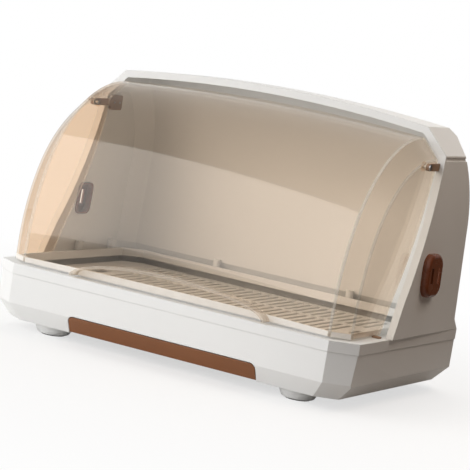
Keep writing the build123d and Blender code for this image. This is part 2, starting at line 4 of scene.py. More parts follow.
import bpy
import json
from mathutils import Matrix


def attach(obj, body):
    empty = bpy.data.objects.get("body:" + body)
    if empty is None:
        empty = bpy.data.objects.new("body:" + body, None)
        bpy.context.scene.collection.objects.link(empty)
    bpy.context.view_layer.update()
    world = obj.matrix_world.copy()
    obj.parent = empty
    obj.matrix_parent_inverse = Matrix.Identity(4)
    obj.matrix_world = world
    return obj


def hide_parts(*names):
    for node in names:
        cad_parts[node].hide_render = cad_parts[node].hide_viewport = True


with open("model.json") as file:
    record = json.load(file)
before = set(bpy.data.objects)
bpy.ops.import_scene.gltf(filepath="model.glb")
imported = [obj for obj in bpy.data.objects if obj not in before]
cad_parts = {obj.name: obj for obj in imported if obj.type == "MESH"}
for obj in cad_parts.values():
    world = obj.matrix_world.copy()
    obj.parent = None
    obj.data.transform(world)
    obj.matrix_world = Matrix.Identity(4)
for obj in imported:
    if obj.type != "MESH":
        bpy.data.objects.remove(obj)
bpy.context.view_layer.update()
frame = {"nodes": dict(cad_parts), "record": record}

import json
import logging
import math
from dataclasses import dataclass
from enum import Enum

import bmesh
import bpy
from mathutils import Matrix, Vector

log = logging.getLogger("rack")
MM = 0.001
Point = tuple[float, float]
Triple = tuple[float, float, float]


class Body(Enum):
    """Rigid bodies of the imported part."""

    HOUSING = "housing"
    COVER = "cover"
    DRAWER = "drawer"
    RACK = "rack"


class Slot(Enum):
    """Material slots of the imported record."""

    WHITE = "white_plastic"
    BROWN = "brown_plastic"
    DARK = "dark_brown_plastic"
    TINT = "tinted_cover"
    WASHER = "washer_plastic"
    RUBBER = "rubber_pad"
    STEEL = "steel"


def linear(code: str) -> tuple[float, float, float, float]:
    """Turn an sRGB hex colour to linear light.

    Args:
        code: colour written as #RRGGBB.

    Returns:
        Linear red, green and blue with an alpha of 1.
    """
    parts = [int(code[i : i + 2], 16) / 255 for i in (1, 3, 5)]
    return (*[c / 12.92 if c <= 0.04045 else ((c + 0.055) / 1.055) ** 2.4 for c in parts], 1.0)


def add(tree: bpy.types.NodeTree, kind: str, inputs: dict | None = None, **settings: object) -> bpy.types.Node:
    """Add one node, set it and link it.

    Args:
        tree: node tree that takes the node.
        kind: the node's type name.
        inputs: socket name or number to a value, or to the output socket that feeds it.
        settings: attributes of the node.

    Returns:
        The new node.
    """
    node = tree.nodes.new(kind)
    for key, value in settings.items():
        setattr(node, key, value)
    for key, value in (inputs or {}).items():
        if isinstance(value, bpy.types.NodeSocket):
            tree.links.new(value, node.inputs[key])
        else:
            node.inputs[key].default_value = value
    return node


def new_material(name: str) -> tuple[bpy.types.Material, bpy.types.NodeTree]:
    """Make an empty node material.

    Args:
        name: the material's name.

    Returns:
        The material and its node tree.
    """
    material = bpy.data.materials.new(name)
    material.use_nodes = True
    material.node_tree.nodes.clear()
    return material, material.node_tree


@dataclass(frozen=True)
class MouldedPlastic:
    """Opaque injection-moulded plastic: an even colour, a soft sheen broken up by the tool's fine
    spark-eroded grain, and edges rounded by the mould."""

    name: str
    colour: str
    roughness: float
    grain_mm: float = 1.2
    grain_depth_mm: float = 0.02
    edge_mm: float = 0.9
    mottle: float = 0.03
    flow_mm: float = 70.0
    sheen_spread: float = 0.04
    grain_strength: float = 0.1
    ior: float = 1.53

    def build(self) -> bpy.types.Material:
        """Build the material.

        Returns:
            The finished material.
        """
        material, tree = new_material(self.name)
        place = add(tree, "ShaderNodeTexCoord").outputs["Object"]
        # slow change of tone where the melt flowed
        flow = add(tree, "ShaderNodeTexNoise", {"Vector": place, "Scale": 1 / (self.flow_mm * MM), "Detail": 3.0})
        base = Vector(linear(self.colour)[:3])
        tone = add(
            tree, "ShaderNodeMix", {0: flow.outputs["Fac"], 6: (*(base * (1 - self.mottle)), 1), 7: (*base, 1)},
            data_type="RGBA",
        )
        sheen = add(
            tree, "ShaderNodeMapRange",
            {"Value": flow.outputs["Fac"], "From Min": 0.3, "From Max": 0.7,
             "To Min": self.roughness - self.sheen_spread, "To Max": self.roughness + self.sheen_spread},
        )
        edge = add(tree, "ShaderNodeBevel", {"Radius": self.edge_mm * MM}, samples=4)
        # grain drawn coarser than the tool's 0.1 mm, so that it shows
        grain = add(tree, "ShaderNodeTexNoise", {"Vector": place, "Scale": 1 / (self.grain_mm * MM), "Detail": 2.0})
        bump = add(
            tree, "ShaderNodeBump",
            {"Strength": self.grain_strength, "Distance": self.grain_depth_mm * MM,
             "Height": grain.outputs["Fac"], "Normal": edge.outputs["Normal"]},
        )
        shader = add(
            tree, "ShaderNodeBsdfPrincipled",
            {"Base Color": tone.outputs[2], "Roughness": sheen.outputs["Result"], "IOR": self.ior,
             "Normal": bump.outputs["Normal"]},
        )
        add(tree, "ShaderNodeOutputMaterial", {"Surface": shader.outputs["BSDF"]})
        return material


def clear_sheet(tree: bpy.types.NodeTree, tint: str, light_tint: str) -> bpy.types.Node:
    """Add the clear part of a thin sheet: light passes straight on and takes half the tint at each
    face, so that the sheet's two faces give the whole.

    Args:
        tree: node tree that takes it.
        tint: colour that one face leaves to what is seen through it.
        light_tint: colour that one face leaves to the light that falls in.

    Returns:
        The shader node.
    """
    path = add(tree, "ShaderNodeLightPath")
    colour = add(
        tree, "ShaderNodeMix", {0: path.outputs["Is Camera Ray"], 6: linear(light_tint), 7: linear(tint)},
        data_type="RGBA",
    )
    return add(tree, "ShaderNodeBsdfTransparent", {"Color": colour.outputs[2]})


@dataclass(frozen=True)
class TintedSheet:
    """Clear moulded sheet with a light brown tint: polished, with a faint waviness, and mirror-like
    where it is seen along its face."""

    name: str
    tint: str
    light_tint: str
    roughness: float = 0.03
    straight_on: float = 0.03
    steepness: float = 5.0
    wave_mm: float = 90.0
    wave_depth_mm: float = 0.05

    def build(self) -> bpy.types.Material:
        """Build the material.

        Returns:
            The finished material.
        """
        material, tree = new_material(self.name)
        place = add(tree, "ShaderNodeTexCoord").outputs["Object"]
        wave = add(tree, "ShaderNodeTexNoise", {"Vector": place, "Scale": 1 / (self.wave_mm * MM), "Detail": 1.0})
        bump = add(
            tree, "ShaderNodeBump",
            {"Strength": 1.0, "Distance": self.wave_depth_mm * MM, "Height": wave.outputs["Fac"]},
        )
        shine = add(
            tree, "ShaderNodeBsdfAnisotropic",
            {"Color": (1, 1, 1, 1), "Roughness": self.roughness, "Normal": bump.outputs["Normal"]},
        )
        # share of mirror light: little straight on, all of it along the face
        facing = add(tree, "ShaderNodeLayerWeight", {"Blend": 0.5})
        steep = add(tree, "ShaderNodeMath", {0: facing.outputs["Facing"], 1: self.steepness}, operation="POWER")
        share = add(
            tree, "ShaderNodeMapRange", {"Value": steep.outputs[0], "To Min": self.straight_on, "To Max": 1.0}
        )
        both = add(
            tree, "ShaderNodeMixShader",
            {0: share.outputs["Result"], 1: clear_sheet(tree, self.tint, self.light_tint).outputs[0],
             2: shine.outputs[0]},
        )
        add(tree, "ShaderNodeOutputMaterial", {"Surface": both.outputs[0]})
        return material


@dataclass(frozen=True)
class LitEdge:
    """Edge, fold or lip of the tinted sheet, with a painted highlight: a pale matt colour stands in for light
    that runs inside the sheet and leaves it here, so it looks paler and less clear than the sheet's face,
    most of all along its own edges."""

    name: str
    tint: str
    glow: str
    face_share: float = 0.22
    edge_share: float = 0.8
    edge_mm: float = 0.5
    edge_match: float = 0.85
    face_match: float = 0.995
    unevenness: float = 0.06
    uneven_mm: float = 12.0
    roughness: float = 0.25

    def build(self) -> bpy.types.Material:
        """Build the material.

        Returns:
            The finished material.
        """
        material, tree = new_material(self.name)
        place = add(tree, "ShaderNodeTexCoord").outputs["Object"]
        uneven = add(
            tree, "ShaderNodeTexNoise", {"Vector": place, "Scale": 1 / (self.uneven_mm * MM), "Detail": 2.0}
        )
        # a rounded normal that differs from the face's own one marks an edge
        rounded = add(tree, "ShaderNodeBevel", {"Radius": self.edge_mm * MM}, samples=4)
        own = add(tree, "ShaderNodeNewGeometry")
        match = add(
            tree, "ShaderNodeVectorMath", {0: rounded.outputs["Normal"], 1: own.outputs["Normal"]},
            operation="DOT_PRODUCT",
        )
        even = add(
            tree, "ShaderNodeMapRange",
            {"Value": match.outputs["Value"], "From Min": self.edge_match, "From Max": self.face_match,
             "To Min": self.edge_share, "To Max": self.face_share},
        )
        drift = add(
            tree, "ShaderNodeMapRange",
            {"Value": uneven.outputs["Fac"], "To Min": -self.unevenness, "To Max": self.unevenness},
        )
        share = add(tree, "ShaderNodeMath", {0: even.outputs["Result"], 1: drift.outputs["Result"]}, use_clamp=True)
        # painted highlight: a pale matt colour stands in for the light that leaves the sheet at its edges
        pale = add(
            tree, "ShaderNodeBsdfPrincipled", {"Base Color": linear(self.glow), "Roughness": self.roughness}
        )
        both = add(
            tree, "ShaderNodeMixShader",
            {0: share.outputs[0], 1: clear_sheet(tree, self.tint, self.tint).outputs[0], 2: pale.outputs[0]},
        )
        add(tree, "ShaderNodeOutputMaterial", {"Surface": both.outputs[0]})
        return material


@dataclass(frozen=True)
class Rubber:
    """Moulded elastomer: matt, with a faint dusty mottle."""

    name: str
    colour: str
    roughness: float = 0.75
    dust_mm: float = 4.0
    dust_tone: float = 1.5
    dust_depth_mm: float = 0.03
    dust_strength: float = 0.3

    def build(self) -> bpy.types.Material:
        """Build the material.

        Returns:
            The finished material.
        """
        material, tree = new_material(self.name)
        place = add(tree, "ShaderNodeTexCoord").outputs["Object"]
        dust = add(tree, "ShaderNodeTexNoise", {"Vector": place, "Scale": 1 / (self.dust_mm * MM), "Detail": 4.0})
        base = Vector(linear(self.colour)[:3])
        tone = add(
            tree, "ShaderNodeMix", {0: dust.outputs["Fac"], 6: (*base, 1), 7: (*(base * self.dust_tone), 1)},
            data_type="RGBA",
        )
        bump = add(
            tree, "ShaderNodeBump",
            {"Strength": self.dust_strength, "Distance": self.dust_depth_mm * MM, "Height": dust.outputs["Fac"]},
        )
        shader = add(
            tree, "ShaderNodeBsdfPrincipled",
            {"Base Color": tone.outputs[2], "Roughness": self.roughness, "Normal": bump.outputs["Normal"]},
        )
        add(tree, "ShaderNodeOutputMaterial", {"Surface": shader.outputs["BSDF"]})
        return material


@dataclass(frozen=True)
class PlatedSteel:
    """Zinc-plated steel: a grey metal, turned or headed, with a soft uneven shine."""

    name: str
    colour: str
    roughness: float = 0.32
    spangle_mm: float = 1.5
    shine_spread: float = 0.1

    def build(self) -> bpy.types.Material:
        """Build the material.

        Returns:
            The finished material.
        """
        material, tree = new_material(self.name)
        place = add(tree, "ShaderNodeTexCoord").outputs["Object"]
        spangle = add(
            tree, "ShaderNodeTexNoise", {"Vector": place, "Scale": 1 / (self.spangle_mm * MM), "Detail": 3.0}
        )
        shine = add(
            tree, "ShaderNodeMapRange",
            {"Value": spangle.outputs["Fac"], "To Min": self.roughness - self.shine_spread,
             "To Max": self.roughness + self.shine_spread},
        )
        shader = add(
            tree, "ShaderNodeBsdfPrincipled",
            {"Base Color": linear(self.colour), "Metallic": 1.0, "Roughness": shine.outputs["Result"]},
        )
        add(tree, "ShaderNodeOutputMaterial", {"Surface": shader.outputs["BSDF"]})
        return material


FINISHES = {
    # ABS, spark-eroded tool: an even satin off-white that shows no mirror image
    Slot.WHITE: MouldedPlastic("white_satin_abs", "#EBECEC", 0.42),
    # ABS, fine-grained tool on the drawer's front: warm mid brown with a slight drift of tone
    Slot.BROWN: MouldedPlastic("brown_satin_abs", "#86532F", 0.4, edge_mm=0.6, mottle=0.12, flow_mm=25.0),
    # polypropylene, polished tool: red brown with a sharper shine
    Slot.DARK: MouldedPlastic("red_brown_polypropylene", "#7A4024", 0.26, edge_mm=0.3, mottle=0.14, flow_mm=18.0),
    # acrylic tinted in the mass, polished tool: clear and light brown, bright where it is seen along its face
    Slot.TINT: TintedSheet("tinted_clear_acrylic", "#FAF1E7", "#FDFAF6"),
    # nylon, turned washers: dull and slightly cream
    Slot.WASHER: MouldedPlastic("natural_nylon", "#CFC8BA", 0.5, edge_mm=0.2),
    # silicone, moulded pads under the feet: matt near-black
    Slot.RUBBER: Rubber("black_silicone_rubber", "#2B2826"),
    # steel, headed or turned and then zinc-plated: cool grey with a soft uneven shine
    Slot.STEEL: PlatedSteel("zinc_plated_steel", "#B9BABC"),
}


class Workshop:
    """Holds each finish, built once, and hands it to the pieces."""

    def __init__(self) -> None:
        """Build all the finishes."""
        self.materials = {slot: finish.build() for slot, finish in FINISHES.items()}
        # folds and cut edges of the acrylic: a painted highlight makes them paler than its faces
        self.lit_edge = LitEdge("tinted_acrylic_edge", "#F6F1EB", "#F4EEE6").build()
        # the thick lip along the foot: a painted highlight makes it nearly white, so little is seen through it
        self.lit_lip = LitEdge("tinted_acrylic_lip", "#F6F1EB", "#FAF6F0", face_share=0.8, edge_share=0.9).build()
        # acetal, moulded: a dull mid brown that stays quiet behind the tinted sheet
        arms = MouldedPlastic("brown_acetal", "#94765E", 0.4, edge_mm=0.3)
        # silicone, moulded: soft matt brown
        pads = Rubber("brown_silicone_rubber", "#8A705C")
        self.own = {
            # the handle's ridge takes the painted highlight of the folds
            "cover_handle": self.lit_edge,
            **dict.fromkeys(("hinge_arm_left", "hinge_arm_right"), arms.build()),
            **dict.fromkeys(("cover_bumper_left", "cover_bumper_right"), pads.build()),
        }

    def dress_nodes(self) -> None:
        """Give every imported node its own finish, or else that of its slot."""
        named = {entry["node"]: entry["material_slot"] for entry in frame["record"]["subparts"]}
        for node, thing in frame["nodes"].items():
            finish = self.own.get(node, self.materials[Slot(named[node])])
            for place in thing.material_slots:
                place.material = finish

    def install(self, piece: bpy.types.Object, body: Body, slot: Slot, *nodes: str) -> bpy.types.Object:
        """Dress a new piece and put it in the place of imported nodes.

        Args:
            piece: the new piece.
            body: body that it moves with.
            slot: record slot of its finish.
            nodes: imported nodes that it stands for.

        Returns:
            The piece.
        """
        if not piece.data.materials:
            piece.data.materials.append(self.materials[slot])
        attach(piece, body.value)
        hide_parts(*nodes)
        log.info("%s: %d faces for %s", piece.name, len(piece.data.polygons), ", ".join(nodes))
        return piece


def object_from(name: str, shape: bmesh.types.BMesh) -> bpy.types.Object:
    """Turn a bmesh into a linked object at the origin.

    Args:
        name: the object's name.
        shape: its geometry, which is freed.

    Returns:
        The object.
    """
    mesh = bpy.data.meshes.new(name)
    shape.to_mesh(mesh)
    shape.free()
    thing = bpy.data.objects.new(name, mesh)
    bpy.context.scene.collection.objects.link(thing)
    return thing


def bake(thing: bpy.types.Object) -> bpy.types.Object:
    """Apply an object's modifiers, so that it ends as a plain mesh.

    Args:
        thing: the object.

    Returns:
        The same object with its evaluated mesh.
    """
    graph = bpy.context.evaluated_depsgraph_get()
    graph.update()
    mesh = bpy.data.meshes.new_from_object(thing.evaluated_get(graph))
    thing.modifiers.clear()
    thing.data = mesh
    return thing


def soften(thing: bpy.types.Object, width: float, angle: float = 50.0) -> bpy.types.Object:
    """Round an object's edges over an angle, keep its flats flat in the light, and bake it.

    Args:
        thing: the object.
        width: how far the rounding goes in from an edge.
        angle: edges sharper than this, in degrees, are rounded.

    Returns:
        The same object, baked.
    """
    for face in thing.data.polygons:
        face.use_smooth = True
    edge = thing.modifiers.new("edge", "BEVEL")
    edge.width, edge.segments, edge.limit_method, edge.angle_limit = width, 2, "ANGLE", math.radians(angle)
    edge.use_clamp_overlap = True
    even = thing.modifiers.new("even", "WEIGHTED_NORMAL")
    even.keep_sharp = True
    return bake(thing)


@dataclass
class Recipe:
    """A Geometry Nodes tree with named inputs, run on one object and baked to a plain mesh."""

    name: str
    values: dict[str, object]

    def __post_init__(self) -> None:
        """Make the tree and its named inputs."""
        self.tree = bpy.data.node_groups.new(self.name, "GeometryNodeTree")
        face = self.tree.interface
        face.new_socket("Geometry", in_out="INPUT", socket_type="NodeSocketGeometry")
        kinds = {float: "NodeSocketFloat", int: "NodeSocketInt", bpy.types.Material: "NodeSocketMaterial"}
        self.keys = {}
        for label, value in self.values.items():
            socket = face.new_socket(label, in_out="INPUT", socket_type=kinds[type(value)])
            self.keys[label] = socket.identifier
        face.new_socket("Geometry", in_out="OUTPUT", socket_type="NodeSocketGeometry")
        self.start = self.tree.nodes.new("NodeGroupInput").outputs

    def node(self, kind: str, inputs: dict | None = None, **settings: object) -> bpy.types.Node:
        """Add one node to the tree, as add does."""
        return add(self.tree, kind, inputs, **settings)

    def math(self, operation: str, *values: object) -> bpy.types.NodeSocket:
        """Add one Math node and return its result."""
        return self.node("ShaderNodeMath", dict(enumerate(values)), operation=operation).outputs[0]

    def finish(self, geometry: bpy.types.NodeSocket) -> None:
        """End the tree: realize instances, set the material, output.

        Args:
            geometry: socket that holds the shape.
        """
        real = self.node("GeometryNodeRealizeInstances", {"Geometry": geometry})
        painted = self.node(
            "GeometryNodeSetMaterial", {"Geometry": real.outputs[0], "Material": self.start["Material"]}
        )
        self.node("NodeGroupOutput", {"Geometry": painted.outputs[0]})

    def bake(self, thing: bpy.types.Object) -> bpy.types.Object:
        """Run the tree on an object and keep the result as its plain mesh.

        Args:
            thing: object whose mesh goes in.

        Returns:
            The same object with the new mesh.
        """
        modifier = thing.modifiers.new(self.name, "NODES")
        modifier.node_group = self.tree
        for label, value in self.values.items():
            modifier[self.keys[label]] = value
        return bake(thing)


@dataclass
class ClearCover:
    """Curved cover of tinted sheet: a crowned panel, two corner facets, two side walls and the
    bosses for its hinge pins."""

    crest_y: float = 0.026
    turns: Triple = (33.1, 34.0, 22.9)
    panel_radii: Triple = (0.1511, 0.1579, 0.2521)
    side_radii: Triple = (0.1409, 0.1423, 0.2188)
    panel_crest: float = 0.2885
    side_crest: float = 0.267
    foot_z: float = 0.077
    lip: float = 0.0055
    panel_half: float = 0.192
    half: float = 0.2125
    crown: float = 0.0085
    crown_fade: float = 0.018
    wall: float = 0.0024
    crease: float = 0.0018
    edge: float = 0.0004
    edge_angle: float = 60.0
    rear_foot: Point = (-0.054, 0.075)
    rear_bend: Point = (-0.0335, 0.116)
    rear_mid: Point = (0.004, 0.190)
    rear_top: Point = (0.026, 0.273)
    overlap: float = 0.003
    arc_steps: int = 16
    rear_steps: int = 24
    columns: int = 32
    pin: Point = (-0.002, 0.2595)
    boss: Point = (0.0055, 0.002)
    boss_sides: int = 32
    boss_sink: float = 0.0002
    bore: float = 0.00206

    def rear_y(self, z: float) -> float:
        """Find where the cover's rear edge lies, just inside the hood's front rim.

        Args:
            z: height above the worktop.

        Returns:
            The rear edge's y at that height.
        """
        if z >= self.rear_top[1]:
            return self.rear_top[0] + self.overlap
        if z <= self.rear_bend[1]:
            share = (z - self.rear_foot[1]) / (self.rear_bend[1] - self.rear_foot[1])
            return self.rear_foot[0] + share * (self.rear_bend[0] - self.rear_foot[0]) + self.overlap
        a, b, c = (Vector(p) for p in (self.rear_bend, self.rear_mid, self.rear_top))
        ab, cb = a - b, c - b
        cross = 2 * (ab.x * cb.y - ab.y * cb.x)
        shift_y = cb.y * ab.length_squared - ab.y * cb.length_squared
        shift_z = ab.x * cb.length_squared - cb.x * ab.length_squared
        middle = b + Vector((shift_y, shift_z)) / cross
        side = 1 if a.x > middle.x else -1
        return middle.x + side * math.sqrt((a - middle).length_squared - (z - middle.y) ** 2) + self.overlap

    def profile(self, radii: Triple, crest: float) -> list[Point]:
        """Trace a side profile from the rear edge over the crest to the lip and the foot.

        Args:
            radii: radii of the three tangent arcs.
            crest: height of the crest.

        Returns:
            Points (y, z), the same count for every profile.
        """
        points = [(self.rear_y(crest), crest), (self.crest_y, crest)]
        y, z, angle = self.crest_y, crest, 0.0
        for radius, turn in zip(radii, self.turns):
            cy, cz = y + radius * math.sin(angle), z - radius * math.cos(angle)
            for step in range(1, self.arc_steps + 1):
                at = angle + math.radians(turn) * step / self.arc_steps
                points.append((cy - radius * math.sin(at), cz + radius * math.cos(at)))
            angle += math.radians(turn)
            y, z = points[-1]
        points += [(y, self.foot_z + self.lip), (y, self.foot_z)]
        return points

    def sheet(self) -> bpy.types.Object:
        """Build the cover's outer skin without its crown, its creases weighted for rounding.

        Returns:
            The skin.
        """
        panel = self.profile(self.panel_radii, self.panel_crest)
        side = self.profile(self.side_radii, self.side_crest)
        across = [self.panel_half * (2 * i / self.columns - 1) for i in range(self.columns + 1)]
        shape = bmesh.new()
        rows = []
        for (py, pz), (sy, sz) in zip(panel, side):
            row = [(-self.half, sy, sz), *[(x, py, pz) for x in across], (self.half, sy, sz)]
            rows.append([shape.verts.new(p) for p in row])
        for high, low in zip(rows, rows[1:]):
            for i in range(len(low) - 1):
                shape.faces.new((high[i], low[i], low[i + 1], high[i + 1]))
        top = side[0][1]
        heights = [self.foot_z + (top - self.foot_z) * i / self.rear_steps for i in range(self.rear_steps)]
        for index, sign in ((0, -1), (-1, 1)):
            rear = [shape.verts.new((sign * self.half, self.rear_y(z), z)) for z in heights]
            shape.faces.new([row[index] for row in rows] + rear)
        bmesh.ops.recalc_face_normals(shape, faces=shape.faces)
        weight = shape.edges.layers.float.new("bevel_weight_edge")
        for low, high in zip(rows, rows[1:]):
            for index in (0, 1, -2, -1):
                shape.edges.get((low[index], high[index]))[weight] = 1.0
        return object_from("tinted_cover", shape)

    def crowned(self, skin: bpy.types.Object, shop: Workshop) -> bpy.types.Object:
        """Raise the panel's middle by a rule.

        Args:
            skin: the cover's skin.
            shop: holds the finishes.

        Returns:
            The crowned skin.
        """
        recipe = Recipe(
            "crowned_panel",
            {"Half Width": self.panel_half, "Crown": self.crown, "Material": shop.materials[Slot.TINT]},
        )
        where = recipe.node("ShaderNodeSeparateXYZ", {0: recipe.node("GeometryNodeInputPosition").outputs[0]})
        reach = recipe.math("MINIMUM", recipe.math("ABSOLUTE", where.outputs["X"]), recipe.start["Half Width"])
        share = recipe.math("POWER", recipe.math("DIVIDE", reach, recipe.start["Half Width"]), 2.0)
        rise = recipe.math("MULTIPLY", recipe.math("SUBTRACT", 1.0, share), recipe.start["Crown"])
        # the foot stays level, so the rise fades in over the upright below the arcs
        fade = recipe.node(
            "ShaderNodeMapRange",
            {"Value": where.outputs["Z"], "From Min": self.foot_z, "From Max": self.foot_z + self.crown_fade},
        )
        lift = recipe.node("ShaderNodeCombineXYZ", {"Z": recipe.math("MULTIPLY", rise, fade.outputs["Result"])})
        moved = recipe.node(
            "GeometryNodeSetPosition", {"Geometry": recipe.start["Geometry"], "Offset": lift.outputs[0]}
        )
        recipe.finish(moved.outputs[0])
        return recipe.bake(skin)

    def bosses(self, shape: bmesh.types.BMesh) -> None:
        """Add the two bosses on the side walls' inner faces, each a ring round its pin's bore.

        Args:
            shape: the cover's geometry, which takes them.
        """
        radius, depth = self.boss
        steps = self.boss_sides
        turn = [2 * math.pi * i / steps for i in range(steps)]
        for sign in (-1, 1):
            x0, x1 = sign * (self.half - self.wall - depth), sign * (self.half - self.wall + self.boss_sink)
            rings = []
            for x, r in ((x0, radius), (x1, radius), (x1, self.bore), (x0, self.bore)):
                rings.append([shape.verts.new((x, self.pin[0] + r * math.cos(a), self.pin[1] + r * math.sin(a)))
                              for a in turn])
            made = []
            for one, two in zip(rings, rings[1:] + rings[:1]):
                for i in range(steps):
                    j = (i + 1) % steps
                    made.append(shape.faces.new((one[i], one[j], two[j], two[i])))
            bmesh.ops.recalc_face_normals(shape, faces=made)

    def build(self, shop: Workshop) -> None:
        """Build the cover and put it in place.

        Args:
            shop: holds the finishes.
        """
        piece = self.crowned(self.sheet(), shop)
        # the creases, cut edges and foot lip take the pale finishes with their painted highlight
        piece.data.materials.append(shop.lit_edge)
        piece.data.materials.append(shop.lit_lip)
        for face in piece.data.polygons:
            face.use_smooth = True
            face.material_index = 2 * int(face.center.z < self.foot_z + self.lip)
        crease = piece.modifiers.new("crease", "BEVEL")
        crease.width, crease.segments, crease.limit_method = self.crease, 4, "WEIGHT"
        # the rounded creases take the painted highlight of the edge finish
        crease.material = 1
        thick = piece.modifiers.new("wall", "SOLIDIFY")
        thick.thickness, thick.offset, thick.use_even_offset = self.wall, -1.0, True
        # the cut rim takes the same painted highlight
        thick.material_offset_rim = 1
        bake(piece)
        shape = bmesh.new()
        shape.from_mesh(piece.data)
        self.bosses(shape)
        shape.to_mesh(piece.data)
        shape.free()
        soften(piece, self.edge, self.edge_angle)
        shop.install(piece, Body.COVER, Slot.TINT, "clear_cover")


